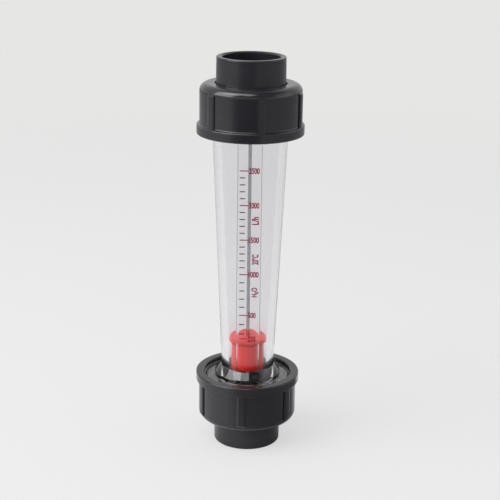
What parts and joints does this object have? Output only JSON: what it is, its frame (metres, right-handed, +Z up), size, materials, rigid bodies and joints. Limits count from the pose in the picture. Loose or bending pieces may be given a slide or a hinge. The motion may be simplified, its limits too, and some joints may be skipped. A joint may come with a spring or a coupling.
{
  "type": "rotameter",
  "caption": "Variable-area flow meter: red weighted float on a guide rod in a clear tapered tube with a printed scale, and a union nut with a pipe socket at each end.",
  "frame": {"origin": "centre of the lower pipe socket's mouth, the lowest face of the meter", "axes": "+Z up along the flow axis; the flat with the printed scale faces -Y"},
  "size_m": [0.0598, 0.0598, 0.2262],
  "materials": {
    "black_pvc": "satin moulded",
    "black_nut": "satin moulded",
    "black_rubber": "matte",
    "clear_plastic": "clear, moulded",
    "stop_plastic": "moulded",
    "stainless_rod": "drawn",
    "red_plastic": "moulded, semi-gloss",
    "ballast_steel": "turned"
  },
  "bodies": {
    "meter": {"measuring_tube": "clear_plastic", "lower_socket": "black_pvc", "upper_socket": "black_pvc", "lower_o_ring": "black_rubber", "upper_o_ring": "black_rubber", "lower_float_stop": "stop_plastic", "upper_float_stop": "stop_plastic", "guide_rod": "stainless_rod"},
    "float": {"float_shell": "red_plastic", "float_cap": "red_plastic", "float_ballast": "ballast_steel"},
    "lower_nut": {"lower_union_nut": "black_nut"},
    "upper_nut": {"upper_union_nut": "black_nut"}
  },
  "joints": [
    {"name": "float_slide", "type": "slide", "parent": "meter", "child": "float", "axis": [0, 0, 1], "range_m": [0, 0.1224]},
    {"name": "lower_nut_turn", "type": "hinge", "parent": "meter", "child": "lower_nut", "pos_m": [0, 0, 0.0286], "axis": [0, 0, 1], "continuous": true},
    {"name": "upper_nut_turn", "type": "hinge", "parent": "meter", "child": "upper_nut", "pos_m": [0, 0, 0.1976], "axis": [0, 0, 1], "continuous": true}
  ]
}
